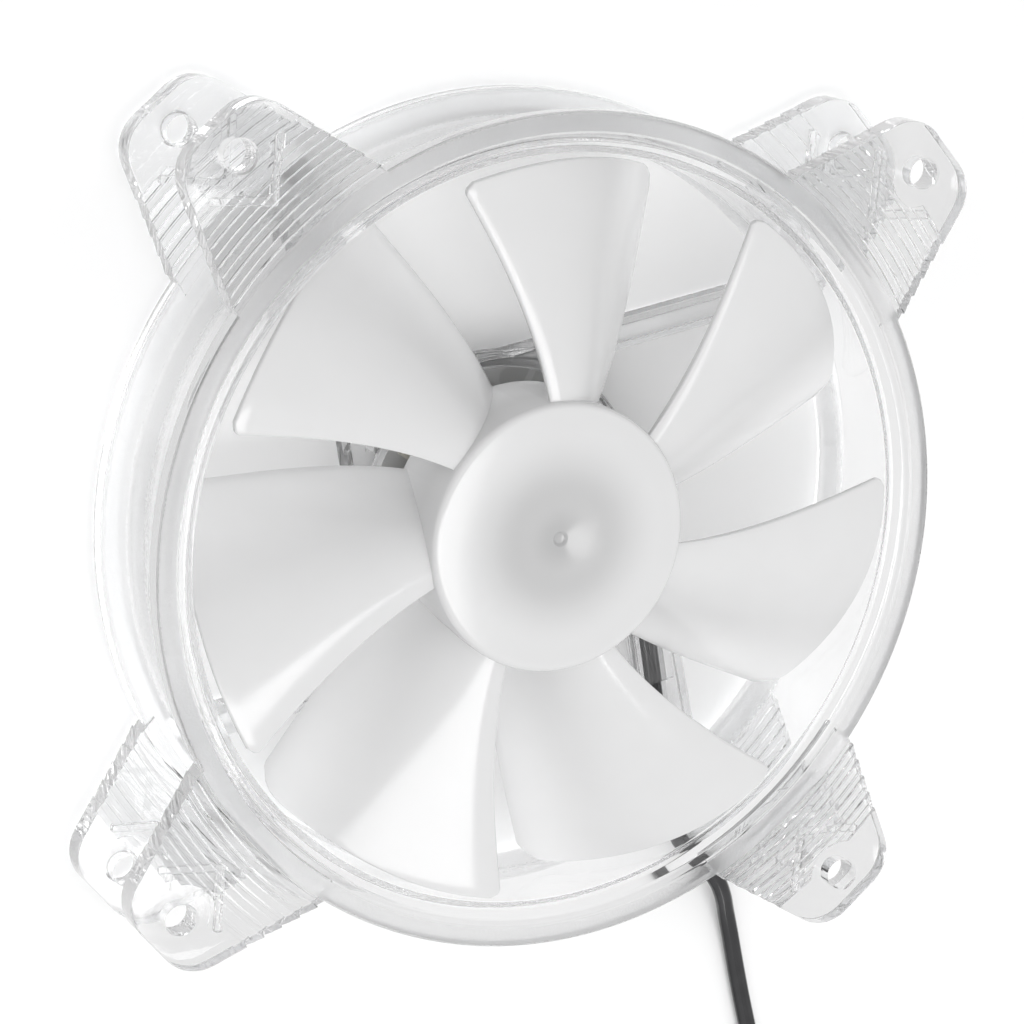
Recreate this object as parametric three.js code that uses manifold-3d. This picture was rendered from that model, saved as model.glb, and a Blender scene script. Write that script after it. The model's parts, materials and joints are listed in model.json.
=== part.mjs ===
// A round-frame case fan, 120 mm across and 25 mm deep.
// It lies on its rear face: origin at the centre of that face, +Z towards the intake.
// Lengths are millimetres and angles are degrees unless a name says otherwise.

import * as THREE from 'three';
import { mergeVertices } from 'three/addons/utils/BufferGeometryUtils.js';
import Module from 'manifold-3d';

const wasm = await Module();
wasm.setup();

// Frame
const FAN_SIZE = 120;
const FAN_DEPTH = 25;
const HOLE_PITCH = 105;
const HOLE_RADIUS = 2.25;
const FLANGE_THICKNESS = 3.5;
const FLANGE_RADIUS = FAN_SIZE / 2;
const FLANGE_FACE_BEVEL = 0.6;
const FLANGE_BACK_BEVEL = 0.9;
const BORE_RADIUS = 54;
const WALL_OUTER_RADIUS = 55.8;
const LUG_THICKNESS = 4;
const RING_SEGMENTS = 96;

// Lugs: "along" runs out on the diagonal from the axis, "across" is square to it
const LUG_ROOT_ALONG = 55;
const LUG_TIP_ALONG = 79.4;
const LUG_REFERENCE_ALONG = 58.2;
const LUG_REFERENCE_HALF_WIDTH = 14.4;
const LUG_TAPER = THREE.MathUtils.degToRad(18.5);
const LUG_CORNER_RADIUS = 6;
const HOLE_PAD_RADIUS = 5.2;
const RIB_CORNER = 45.4;
const RIB_HEIGHT = 0.6;
const RIB_ROOT = 0.6;

// Lug steps: rings about the fan's axis, on both faces and down the sides
const STEP_COUNT = 5;
const STEP_PITCH = 2.5;
const STEP_FIRST_RADIUS = 58.5;
const STEP_CREST_WIDTH = 0.25;
const STEP_DEPTH = 0.45;
const INNER_STEP_DEPTH = 0.4;
const STEP_START_SHARE = 0.4;
const STEP_SIDE_DEPTH = 0.25;

// Struts and motor base
const STRUT_ANGLE = 14.8;
const STRUT_OFFSET = 19.6;
const STRUT_WIDTH = 3.55;
const STRUT_HEIGHT = 5.8;
const STRUT_LENGTH = 53;
const BASE_RADIUS = 22;
const BASE_RIM_THICKNESS = 1.6;
const BASE_RIM_HEIGHT = 6;
const BASE_PLATE_BOTTOM = 0.6;
const BASE_PLATE_TOP = 2.2;
const LABEL_RECESS_RADIUS = 19.2;
const TUBE_OUTER_RADIUS = 5.2;
const TUBE_INNER_RADIUS = 3.9;
const TUBE_TOP = 16;

// Lead strut: the strut that carries the lead is wider and has a groove for it
const LEAD_WIDTH = 2.8;
const LEAD_THICKNESS = 1.4;
const LEAD_STRUT_INNER = 17.2;
const LEAD_STRUT_OUTER_AT_BASE = 24.4;
const LEAD_STRUT_OUTER_AT_WALL = 26.6;
const LEAD_OFFSET = 20.3;
const LEAD_GROOVE_WIDTH = 3.6;
const LEAD_GROOVE_FLOOR = 4;
const LEAD_HEIGHT = 5;
const LEAD_WALL_DISTANCE = 52.5;
const BRIDGE_START = 24;
const BRIDGE_END = 33.5;
const BRIDGE_THICKNESS = 1;

// Impeller
const HUB_RADIUS = 19.4;
const HUB_INNER_RADIUS = 18.1;
const HUB_BOTTOM = 10;
const HUB_TOP = 24.8;
const HUB_ROOF = 1.6;
const HUB_EDGE_RADIUS = 1;
const DIMPLE_RADIUS = 1.1;
const DIMPLE_DEPTH = 0.4;
const BLADE_COUNT = 7;
const BLADE_TIP_RADIUS = 52.9;
const BLADE_ROOT_RADIUS = 18.8;
const BLADE_THICKNESS = 1.4;
const BLADE_TIP_ANGLE = 8.7;
const BLADE_CAMBER = 4;
const LEADING_CORNER_RADIUS = 1.5;
const TRAILING_CORNER_RADIUS = 4;

// Motor
const SHAFT_RADIUS = 1.5;
const SHAFT_BOTTOM = 3.2;
const SHAFT_TOP = 22.8;
const STATOR_RADIUS = 14.3;
const STATOR_BOTTOM = 8.6;
const STATOR_TOP = 15.6;
const STATOR_BORE_RADIUS = 5.6;
const STATOR_RING_RADIUS = 7.6;
const POLE_WIDTH = 3.6;
const POLE_SHOE_INNER_RADIUS = 12.5;
const POLE_COUNT = 4;
const POLE_SHOE_SPAN = 76;
const INSULATOR_THICKNESS = 1;
const WINDING_INNER = 8.2;
const WINDING_OUTER = 10.9;
const PART_GAP = 0.3;
const BOARD_RADIUS = 20;
const BOARD_BOTTOM = 2.6;
const BOARD_TOP = 3.6;

const group = new THREE.Group();
group.name = 'case_fan';

// ---------------------------------------------------------------- helpers

function finish(color, roughness, metalness = 0) {
  return { color, roughness, metalness };
}

const CLEAR = finish(0xf2f5f7, 0.08);
const MILKY = finish(0xf6f6f4, 0.35);
const BLACK_PLASTIC = finish(0x16171a, 0.3);
const STEEL = finish(0x8d9094, 0.35, 1);
const LAMINATION = finish(0x6f7276, 0.5, 1);
const FERRITE = finish(0x2b2b2d, 0.7);
const NYLON = finish(0xe9e6dc, 0.5);
const COPPER = finish(0xb46a3c, 0.3, 1);
const BRASS = finish(0xc8a45a, 0.3, 1);
const BRONZE = finish(0xa97b4b, 0.6, 1);
const BOARD = finish(0x202a26, 0.45);
const SOLDER = finish(0xc9ccd0, 0.25, 1);
const PAPER = finish(0xf0f0ee, 0.7);

function addPart(name, geometry, { color, roughness, metalness }) {
  const material = new THREE.MeshStandardMaterial({ color, roughness, metalness });
  const mesh = new THREE.Mesh(geometry, material);
  mesh.name = name;
  group.add(mesh);
  return mesh;
}

// A manifold solid from a closed three.js geometry.
function solidOf(geometry) {
  const bare = geometry.clone();
  bare.deleteAttribute('normal');
  bare.deleteAttribute('uv');
  const merged = mergeVertices(bare, 1e-4);
  const index = merged.getIndex().array;
  const triangles = [];
  for (let i = 0; i < index.length; i += 3) {
    const [a, b, c] = [index[i], index[i + 1], index[i + 2]];
    if (a !== b && b !== c && c !== a) triangles.push(a, b, c);
  }
  const vertProperties = new Float32Array(merged.getAttribute('position').array);
  return new wasm.Manifold(
    new wasm.Mesh({ numProp: 3, vertProperties, triVerts: new Uint32Array(triangles) }),
  );
}

function geometryOf(solid) {
  const mesh = solid.getMesh();
  const geometry = new THREE.BufferGeometry();
  const positions = new THREE.BufferAttribute(new Float32Array(mesh.vertProperties), 3);
  geometry.setAttribute('position', positions);
  geometry.setIndex(new THREE.BufferAttribute(new Uint32Array(mesh.triVerts), 1));
  geometry.computeVertexNormals();
  return geometry;
}

function joined(geometries) {
  return geometries.map(solidOf).reduce((whole, piece) => whole.add(piece));
}

// A solid of revolution about Z. The profile is a list of [radius, z], anticlockwise.
function revolve(profile, segments = 48) {
  const points = profile.map(([radius, z]) => new THREE.Vector2(radius, z));
  const onAxis = profile[0][0] === 0 && profile.at(-1)[0] === 0;
  if (!onAxis) points.push(points[0].clone());
  return new THREE.LatheGeometry(points, segments).rotateX(Math.PI / 2);
}

function ring(inner, outer, bottom, top, segments) {
  return revolve([[inner, bottom], [outer, bottom], [outer, top], [inner, top]], segments);
}

function disc(radius, bottom, top, segments) {
  return revolve([[0, bottom], [radius, bottom], [radius, top], [0, top]], segments);
}

// A box from its lowest corner and its size.
function boxFrom([x, y, z], [width, depth, height]) {
  return new THREE.BoxGeometry(width, depth, height)
    .translate(x + width / 2, y + depth / 2, z + height / 2);
}

function extrude(shape, bottom, top, curveSegments = 12) {
  return new THREE.ExtrudeGeometry(shape, { depth: top - bottom, bevelEnabled: false, curveSegments })
    .translate(0, 0, bottom);
}

function polygon(points) {
  return new THREE.Shape(points.map(([x, y]) => new THREE.Vector2(x, y)));
}

function turned(geometry, degrees) {
  return geometry.clone().rotateZ(THREE.MathUtils.degToRad(degrees));
}

// ---------------------------------------------------------------- frame

function lugHalfWidth(along) {
  return LUG_REFERENCE_HALF_WIDTH - (along - LUG_REFERENCE_ALONG) * Math.tan(LUG_TAPER);
}

// The point of a lug's side that lies at a radius from the fan's axis.
function lugSidePoint(radius, inset = 0) {
  let along = radius;
  let across = 0;
  for (let i = 0; i < 8; i += 1) {
    across = lugHalfWidth(along) - inset;
    along = Math.sqrt(radius * radius - across * across);
  }
  return [along, across];
}

// One side of a lug, from its root out to its round corner. Each step narrows on the way out.
function lugSide() {
  const points = [[LUG_ROOT_ALONG, lugHalfWidth(LUG_ROOT_ALONG)]];
  for (let i = 0; i < STEP_COUNT; i += 1) {
    const start = STEP_FIRST_RADIUS + i * STEP_PITCH;
    points.push(lugSidePoint(start), lugSidePoint(start + STEP_PITCH, STEP_SIDE_DEPTH));
  }
  points.push(lugSidePoint(STEP_FIRST_RADIUS + STEP_COUNT * STEP_PITCH));
  return points;
}

// A lug seen from the front, pointing along +X: stepped sides, blunt tip, round corners.
function lugShape() {
  const side = Math.PI / 2 - LUG_TAPER;
  const tangent = LUG_CORNER_RADIUS * Math.tan(side / 2);
  const centreAlong = LUG_TIP_ALONG - LUG_CORNER_RADIUS;
  const centreAcross = lugHalfWidth(LUG_TIP_ALONG) - tangent;
  const shape = new THREE.Shape();
  shape.moveTo(LUG_ROOT_ALONG, -lugHalfWidth(LUG_ROOT_ALONG));
  for (const [along, across] of lugSide().slice(1)) shape.lineTo(along, -across);
  shape.absarc(centreAlong, -centreAcross, LUG_CORNER_RADIUS, -side, 0, false);
  shape.absarc(centreAlong, centreAcross, LUG_CORNER_RADIUS, 0, side, false);
  for (const [along, across] of lugSide().reverse()) shape.lineTo(along, across);
  shape.closePath();
  return shape;
}

// What is cut from the front lugs to leave saw-tooth rings. Each cut deepens outwards. Those on the
// outer face start with a small riser, and those on the inner face lie half a pitch further out.
function stepCuts() {
  const back = FAN_DEPTH - LUG_THICKNESS;
  const cuts = [];
  for (let i = 0; i < STEP_COUNT; i += 1) {
    const start = STEP_FIRST_RADIUS + i * STEP_PITCH + STEP_CREST_WIDTH;
    const end = start + STEP_PITCH - STEP_CREST_WIDTH;
    const outerStart = Math.max(start, FLANGE_RADIUS + 0.02);
    cuts.push(revolve([
      [outerStart, FAN_DEPTH - STEP_START_SHARE * STEP_DEPTH], [end, FAN_DEPTH - STEP_DEPTH],
      [end, FAN_DEPTH + 1], [outerStart, FAN_DEPTH + 1],
    ], RING_SEGMENTS));
    const innerStart = Math.max(start + STEP_PITCH / 2, FLANGE_RADIUS + 0.02);
    const innerEnd = end + STEP_PITCH / 2;
    cuts.push(revolve([
      [innerStart, back - 1], [innerEnd, back - 1], [innerEnd, back + INNER_STEP_DEPTH], [innerStart, back],
    ], RING_SEGMENTS));
  }
  return cuts;
}

// The front lug on +X, with its steps and the plain pad that will have the hole in its middle.
function frontLug() {
  const holeAlong = HOLE_PITCH / 2 * Math.SQRT2;
  const pad = disc(HOLE_PAD_RADIUS, 0, FAN_DEPTH + 2, 24).translate(holeAlong, 0, 0);
  const plain = extrude(lugShape(), FAN_DEPTH - LUG_THICKNESS, FAN_DEPTH, 4);
  return solidOf(plain).subtract(joined(stepCuts()).subtract(solidOf(pad)));
}

// The L-shaped rib in the gap between two lugs, open towards their tips.
function lugRib(bottom) {
  const corner = RIB_CORNER;
  const reach = 10;
  const thickness = 1.1;
  const height = RIB_ROOT + RIB_HEIGHT;
  return [
    boxFrom([corner, corner, bottom], [reach, thickness, height]),
    boxFrom([corner, corner, bottom], [thickness, reach, height]),
  ];
}

function lugRibs() {
  return [...lugRib(LUG_THICKNESS - RIB_ROOT), ...lugRib(FAN_DEPTH - LUG_THICKNESS - RIB_HEIGHT)];
}

function ductShell() {
  const rear = FLANGE_THICKNESS;
  const front = FAN_DEPTH - FLANGE_THICKNESS;
  const inner = BORE_RADIUS - 2;
  return revolve([
    [inner, 0], [FLANGE_RADIUS - FLANGE_FACE_BEVEL, 0], [FLANGE_RADIUS, FLANGE_FACE_BEVEL],
    [FLANGE_RADIUS, rear - FLANGE_BACK_BEVEL], [FLANGE_RADIUS - FLANGE_BACK_BEVEL, rear],
    [WALL_OUTER_RADIUS, rear], [WALL_OUTER_RADIUS, front],
    [FLANGE_RADIUS - FLANGE_BACK_BEVEL, front], [FLANGE_RADIUS, front + FLANGE_BACK_BEVEL],
    [FLANGE_RADIUS, FAN_DEPTH - FLANGE_FACE_BEVEL], [FLANGE_RADIUS - FLANGE_FACE_BEVEL, FAN_DEPTH],
    [inner, FAN_DEPTH],
  ], RING_SEGMENTS);
}

// The through bore: rear bevel, straight bore, front bevel and the shallow step in the front face.
function boreCut() {
  const over = 1;
  return revolve([
    [0, -over], [BORE_RADIUS + 3, -over], [BORE_RADIUS + 3, 0], [BORE_RADIUS, 3],
    [BORE_RADIUS, FAN_DEPTH - 2.2], [BORE_RADIUS + 1.7, FAN_DEPTH - 0.4],
    [BORE_RADIUS + 2.9, FAN_DEPTH - 0.4], [BORE_RADIUS + 3.2, FAN_DEPTH],
    [BORE_RADIUS + 3.2, FAN_DEPTH + over], [0, FAN_DEPTH + over],
  ], RING_SEGMENTS);
}

function lugAndDuctSolid() {
  let solid = solidOf(ductShell());
  const front = frontLug();
  const rear = front.mirror([0, 0, 1]).translate([0, 0, FAN_DEPTH]);
  const hole = disc(HOLE_RADIUS, -1, FAN_DEPTH + 1, 20).translate(HOLE_PITCH / 2 * Math.SQRT2, 0, 0);
  const ribs = joined(lugRibs());
  for (let corner = 0; corner < 4; corner += 1) {
    const diagonal = [0, 0, 45 + 90 * corner];
    solid = solid.add(front.rotate(diagonal)).add(rear.rotate(diagonal));
    solid = solid.subtract(solidOf(hole).rotate(diagonal));
    solid = solid.add(ribs.rotate([0, 0, 90 * corner]));
  }
  return solid.subtract(solidOf(boreCut()));
}

// Where struts may reach: into the duct wall, and into the rear flange below it.
function strutLimit() {
  return revolve([
    [0, 0], [BORE_RADIUS + 4, 0], [BORE_RADIUS + 4, FLANGE_THICKNESS - 0.2],
    [WALL_OUTER_RADIUS - 0.2, FLANGE_THICKNESS - 0.2], [WALL_OUTER_RADIUS - 0.2, BASE_RIM_HEIGHT + 4],
    [0, BASE_RIM_HEIGHT + 4],
  ], RING_SEGMENTS);
}

// Struts are drawn along +X at their offset on the +Y side, then turned into place.
function plainStrut() {
  return boxFrom([0, STRUT_OFFSET - STRUT_WIDTH / 2, 0], [STRUT_LENGTH + 3, STRUT_WIDTH, STRUT_HEIGHT]);
}

function leadStrut() {
  const outline = polygon([
    [0, LEAD_STRUT_INNER], [STRUT_LENGTH + 3, LEAD_STRUT_INNER],
    [STRUT_LENGTH + 3, LEAD_STRUT_OUTER_AT_WALL], [9, LEAD_STRUT_OUTER_AT_BASE], [0, BASE_RADIUS - 1],
  ]);
  const bridgeWidth = LEAD_GROOVE_WIDTH + 2;
  return [
    extrude(outline, 0, STRUT_HEIGHT),
    boxFrom([BRIDGE_START, LEAD_OFFSET - bridgeWidth / 2, STRUT_HEIGHT - 0.1],
      [BRIDGE_END - BRIDGE_START, bridgeWidth, BRIDGE_THICKNESS + 0.1]),
  ];
}

// The lead's way out: a notch in the base's rim, then a groove along the strut, under the bridge
// and out through the duct wall.
function leadGroove() {
  const depth = BASE_RIM_HEIGHT + 0.05 - LEAD_GROOVE_FLOOR;
  const outerEdge = LEAD_OFFSET + LEAD_GROOVE_WIDTH / 2;
  const notchInner = LEAD_STRUT_INNER - 3;
  return joined([
    boxFrom([3, outerEdge - LEAD_GROOVE_WIDTH, LEAD_GROOVE_FLOOR],
      [STRUT_LENGTH + 2, LEAD_GROOVE_WIDTH, depth]),
    boxFrom([3, notchInner, LEAD_GROOVE_FLOOR], [11, outerEdge - notchInner, depth]),
  ]);
}

function motorBase() {
  return revolve([
    [0, BASE_PLATE_BOTTOM], [LABEL_RECESS_RADIUS, BASE_PLATE_BOTTOM], [LABEL_RECESS_RADIUS, 0],
    [BASE_RADIUS, 0], [BASE_RADIUS, BASE_RIM_HEIGHT], [BASE_RADIUS - BASE_RIM_THICKNESS, BASE_RIM_HEIGHT],
    [BASE_RADIUS - BASE_RIM_THICKNESS, BASE_PLATE_TOP], [TUBE_OUTER_RADIUS, BASE_PLATE_TOP],
    [TUBE_OUTER_RADIUS, TUBE_TOP], [TUBE_INNER_RADIUS, TUBE_TOP],
    [TUBE_INNER_RADIUS, BASE_PLATE_TOP], [0, BASE_PLATE_TOP],
  ], 64);
}

// Takes struts out of the space inside the base's cup.
function cupSpace() {
  return disc(BASE_RADIUS - BASE_RIM_THICKNESS, BASE_PLATE_TOP, BASE_RIM_HEIGHT + 2, 64);
}

function labelRecess() {
  return disc(LABEL_RECESS_RADIUS, -1, BASE_PLATE_BOTTOM, 64);
}

const LEAD_STRUT_ANGLE = STRUT_ANGLE - 90;

function frameGeometry() {
  let spokes = joined(leadStrut().map((piece) => turned(piece, LEAD_STRUT_ANGLE)));
  for (const angle of [STRUT_ANGLE, STRUT_ANGLE + 90, STRUT_ANGLE + 180]) {
    spokes = spokes.add(solidOf(turned(plainStrut(), angle)));
  }
  spokes = spokes.intersect(solidOf(strutLimit())).subtract(solidOf(cupSpace()));
  spokes = spokes.subtract(solidOf(labelRecess()));
  const solid = lugAndDuctSolid().add(spokes).add(solidOf(motorBase()));
  return geometryOf(solid.subtract(leadGroove().rotate([0, 0, LEAD_STRUT_ANGLE])));
}

// ---------------------------------------------------------------- impeller

function hubGeometry() {
  const edge = [];
  for (let i = 0; i <= 4; i += 1) {
    const angle = (i / 4) * (Math.PI / 2);
    edge.push([
      HUB_RADIUS - HUB_EDGE_RADIUS + HUB_EDGE_RADIUS * Math.cos(angle),
      HUB_TOP - HUB_EDGE_RADIUS + HUB_EDGE_RADIUS * Math.sin(angle),
    ]);
  }
  const roof = HUB_TOP - HUB_ROOF;
  return revolve([
    [0, roof], [HUB_INNER_RADIUS, roof], [HUB_INNER_RADIUS, HUB_BOTTOM], [HUB_RADIUS, HUB_BOTTOM],
    ...edge, [DIMPLE_RADIUS, HUB_TOP], [DIMPLE_RADIUS * 0.5, HUB_TOP - DIMPLE_DEPTH],
    [0, HUB_TOP - DIMPLE_DEPTH],
  ], 56);
}

// How far a round corner draws the blade's tip in, at a distance from the blade's edge.
function cornerDrop(distance, radius) {
  const inside = Math.max(0, radius - distance);
  return radius - Math.sqrt(radius * radius - inside * inside);
}

// A point of the blade's middle surface: span 0 at the hub to 1 at the tip, chord 0 at the leading
// edge to 1 at the trailing edge.
function bladePoint(span, chord) {
  const leadingAngle = BLADE_TIP_ANGLE - 13.8 + 17.6 * span - 3.8 * span * span;
  const trailingAngle = BLADE_TIP_ANGLE - 54.2 + 20 * span - 6.2 * span * span;
  const angle = THREE.MathUtils.degToRad(leadingAngle + (trailingAngle - leadingAngle) * chord);
  const leadingHeight = 22.5 + 1.3 * span;
  const trailingHeight = 10.6 - 1 * span;
  const camber = BLADE_CAMBER * 4 * chord * (1 - chord);
  const chordLength = 36;
  const drop = cornerDrop(chord * chordLength, LEADING_CORNER_RADIUS)
    + cornerDrop((1 - chord) * chordLength, TRAILING_CORNER_RADIUS);
  const radius = BLADE_ROOT_RADIUS + (BLADE_TIP_RADIUS - drop - BLADE_ROOT_RADIUS) * span;
  return new THREE.Vector3(
    radius * Math.cos(angle),
    radius * Math.sin(angle),
    leadingHeight + (trailingHeight - leadingHeight) * chord + camber,
  );
}

function bladeNormal(span, chord) {
  const step = 0.02;
  const alongSpan = bladePoint(span + step, chord).sub(bladePoint(span - step, chord));
  const [before, after] = [Math.max(0, chord - step), Math.min(1, chord + step)];
  const alongChord = bladePoint(span, after).sub(bladePoint(span, before));
  return alongChord.cross(alongSpan).normalize();
}

// One blade as a closed skin: a front and a rear sheet, sewn together round the edge.
function bladeGeometry() {
  const spans = [0, 0.22, 0.45, 0.68, 0.86, 1];
  const chords = [0, 0.03, 0.07, 0.2, 0.35, 0.5, 0.65, 0.78, 0.88, 0.95, 1];
  const positions = [];
  const index = [];
  for (const side of [1, -1]) {
    for (const span of spans) {
      for (const chord of chords) {
        const offset = bladeNormal(span, chord).multiplyScalar(side * BLADE_THICKNESS / 2);
        positions.push(...bladePoint(span, chord).add(offset).toArray());
      }
    }
  }
  const columns = chords.length;
  const sheetSize = spans.length * columns;
  const at = (sheet, row, column) => sheet * sheetSize + row * columns + column;
  const quad = (a, b, c, d) => index.push(a, b, c, a, c, d);
  for (let row = 0; row + 1 < spans.length; row += 1) {
    for (let column = 0; column + 1 < columns; column += 1) {
      quad(at(0, row, column), at(0, row, column + 1), at(0, row + 1, column + 1), at(0, row + 1, column));
      quad(at(1, row, column), at(1, row + 1, column), at(1, row + 1, column + 1), at(1, row, column + 1));
    }
    quad(at(0, row, 0), at(0, row + 1, 0), at(1, row + 1, 0), at(1, row, 0));
    const last = columns - 1;
    quad(at(0, row, last), at(1, row, last), at(1, row + 1, last), at(0, row + 1, last));
  }
  for (let column = 0; column + 1 < columns; column += 1) {
    const tip = spans.length - 1;
    quad(at(0, 0, column), at(1, 0, column), at(1, 0, column + 1), at(0, 0, column + 1));
    quad(at(0, tip, column), at(0, tip, column + 1), at(1, tip, column + 1), at(1, tip, column));
  }
  const geometry = new THREE.BufferGeometry();
  geometry.setAttribute('position', new THREE.Float32BufferAttribute(positions, 3));
  geometry.setIndex(index);
  return geometry;
}

function impellerGeometry() {
  let solid = solidOf(hubGeometry());
  for (let blade = 0; blade < BLADE_COUNT; blade += 1) {
    solid = solid.add(solidOf(turned(bladeGeometry(), blade * 360 / BLADE_COUNT)));
  }
  return geometryOf(solid);
}

// ---------------------------------------------------------------- motor

// Plan of the stator: a ring with four arms, each ending in a curved pole shoe.
function statorShape(shoeInner, shoeOuter, ringRadius, armWidth) {
  const shape = new THREE.Shape();
  const halfArm = armWidth / 2;
  const halfSpan = THREE.MathUtils.degToRad(POLE_SHOE_SPAN / 2);
  for (let pole = 0; pole < POLE_COUNT; pole += 1) {
    const middle = pole * Math.PI / 2;
    const place = (radius, angle) => [radius * Math.cos(middle + angle), radius * Math.sin(middle + angle)];
    const ringAngle = Math.asin(halfArm / ringRadius);
    const shoeAngle = Math.asin(halfArm / shoeInner);
    const start = place(ringRadius, -ringAngle);
    if (pole === 0) shape.moveTo(...start);
    else shape.lineTo(...start);
    shape.lineTo(...place(shoeInner, -shoeAngle));
    shape.lineTo(...place(shoeInner, -halfSpan));
    shape.absarc(0, 0, shoeOuter, middle - halfSpan, middle + halfSpan, false);
    shape.lineTo(...place(shoeInner, halfSpan));
    shape.lineTo(...place(shoeInner, shoeAngle));
    shape.lineTo(...place(ringRadius, ringAngle));
  }
  shape.closePath();
  const bore = new THREE.Path();
  bore.absarc(0, 0, STATOR_BORE_RADIUS, 0, 2 * Math.PI, true);
  shape.holes.push(bore);
  return shape;
}

function statorGeometry() {
  const shape = statorShape(POLE_SHOE_INNER_RADIUS, STATOR_RADIUS, STATOR_RING_RADIUS, POLE_WIDTH);
  return extrude(shape, STATOR_BOTTOM, STATOR_TOP, 6);
}

function insulatorGeometry(bottom) {
  const [shoeInner, shoeOuter] = [POLE_SHOE_INNER_RADIUS + 0.2, STATOR_RADIUS - 0.5];
  const shape = statorShape(shoeInner, shoeOuter, STATOR_RING_RADIUS, POLE_WIDTH + 0.4);
  return extrude(shape, bottom, bottom + INSULATOR_THICKNESS, 6);
}

// A winding round one arm: a rounded rectangle with a rectangular eye, extruded out from the axis.
function windingGeometry() {
  const middle = (STATOR_BOTTOM + STATOR_TOP) / 2;
  const eyeHalfWidth = (POLE_WIDTH + 0.4) / 2 + PART_GAP;
  const eyeHalfHeight = (STATOR_TOP - STATOR_BOTTOM) / 2 + INSULATOR_THICKNESS + 0.1 + PART_GAP;
  const build = 2;
  const outline = roundedRectangle(eyeHalfWidth + build, eyeHalfHeight + build, 1.6);
  outline.holes.push(roundedRectangle(eyeHalfWidth, eyeHalfHeight, 0.3));
  return extrude(outline, WINDING_INNER, WINDING_OUTER, 3)
    .rotateZ(Math.PI / 2).rotateY(Math.PI / 2).translate(0, 0, middle);
}

function roundedRectangle(halfWidth, halfHeight, radius) {
  const shape = new THREE.Shape();
  const [x, y] = [halfWidth - radius, halfHeight - radius];
  shape.absarc(x, y, radius, 0, Math.PI / 2, false);
  shape.absarc(-x, y, radius, Math.PI / 2, Math.PI, false);
  shape.absarc(-x, -y, radius, Math.PI, 1.5 * Math.PI, false);
  shape.absarc(x, -y, radius, 1.5 * Math.PI, 2 * Math.PI, false);
  shape.closePath();
  return shape;
}

function addStator() {
  addPart('stator_core', statorGeometry(), LAMINATION);
  addPart('upper_insulator', insulatorGeometry(STATOR_TOP + 0.1), NYLON);
  addPart('lower_insulator', insulatorGeometry(STATOR_BOTTOM - 0.1 - INSULATOR_THICKNESS), NYLON);
  for (let pole = 0; pole < POLE_COUNT; pole += 1) {
    addPart(`winding_${pole + 1}`, turned(windingGeometry(), pole * 90), COPPER);
  }
  const pinTop = STATOR_BOTTOM - 0.1 - INSULATOR_THICKNESS - 0.05;
  const pin = disc(0.35, BOARD_TOP + 0.05, pinTop, 10).translate(13.4, 0, 0);
  [30, 150, 270].forEach((angle, i) => addPart(`winding_pin_${i + 1}`, turned(pin, angle), SOLDER));
}

function addBoard() {
  const board = ring(TUBE_OUTER_RADIUS + PART_GAP, BOARD_RADIUS, BOARD_BOTTOM, BOARD_TOP, 56);
  addPart('circuit_board', board, BOARD);
  const top = BOARD_TOP + 0.05;
  const chip = boxFrom([-2.6, 15.4, top], [5.2, 1.6, 4.2]);
  addPart('driver_chip', turned(chip, 135), BLACK_PLASTIC);
  addPart('capacitor', turned(boxFrom([-1.6, 16.2, top], [3.2, 1.6, 1.2]), 60), NYLON);
  addPart('diode', turned(boxFrom([-1.4, 16.2, top], [2.8, 1.6, 1.1]), 15), BLACK_PLASTIC);
}

function addBearing() {
  const outer = TUBE_INNER_RADIUS - PART_GAP;
  const washer = (bottom) => ring(SHAFT_RADIUS + 0.4, outer, bottom, bottom + 0.5, 24);
  addPart('thrust_pad', disc(outer, BASE_PLATE_TOP + 0.05, 3, 24), NYLON);
  addPart('lower_oil_washer', washer(5), NYLON);
  addPart('sleeve_bearing', ring(SHAFT_RADIUS + 0.06, outer, 5.7, 14.7, 36), BRONZE);
  addPart('upper_oil_washer', washer(15), NYLON);
}

function addRotor() {
  addPart('impeller', impellerGeometry(), MILKY);
  const outer = HUB_INNER_RADIUS - PART_GAP;
  const inner = outer - 0.9;
  addPart('rotor_yoke', revolve([
    [5.9, 22.1], [inner, 22.1], [inner, 10.4], [outer, 10.4], [outer, 23], [5.9, 23],
  ], 56), STEEL);
  addPart('ring_magnet', ring(STATOR_RADIUS + 0.6, inner - PART_GAP, 10.6, 19.2, 48), FERRITE);
  addPart('shaft', disc(SHAFT_RADIUS, SHAFT_BOTTOM, SHAFT_TOP, 36), STEEL);
  addPart('shaft_bush', revolve([
    [SHAFT_RADIUS + PART_GAP, 17.4], [4, 17.4], [4, 20.8], [5.6, 20.8], [5.6, 22.9],
    [SHAFT_RADIUS + PART_GAP, 22.9],
  ], 32), BRASS);
  addPart('retaining_clip', ring(SHAFT_RADIUS + 0.1, 3, 4.1, 4.5, 24), NYLON);
}

// ---------------------------------------------------------------- lead

// A point of the lead's groove: the distance runs along the strut from where it passes the axis,
// and the offset is how far to the side of the axis it passes.
function onLeadStrut(distance, offset = LEAD_OFFSET) {
  const along = THREE.MathUtils.degToRad(LEAD_STRUT_ANGLE);
  const out = along + Math.PI / 2;
  return new THREE.Vector3(
    offset * Math.cos(out) + distance * Math.cos(along),
    offset * Math.sin(out) + distance * Math.sin(along),
    LEAD_HEIGHT,
  );
}

// The lead's flat section: x is its thickness and y its width.
function leadSection() {
  const [x, y, bevel] = [LEAD_THICKNESS / 2, LEAD_WIDTH / 2, 0.4];
  return polygon([
    [x, -y + bevel], [x, y - bevel], [x - bevel, y], [-x + bevel, y],
    [-x, y - bevel], [-x, -y + bevel], [-x + bevel, -y], [x - bevel, -y],
  ]);
}

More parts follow.
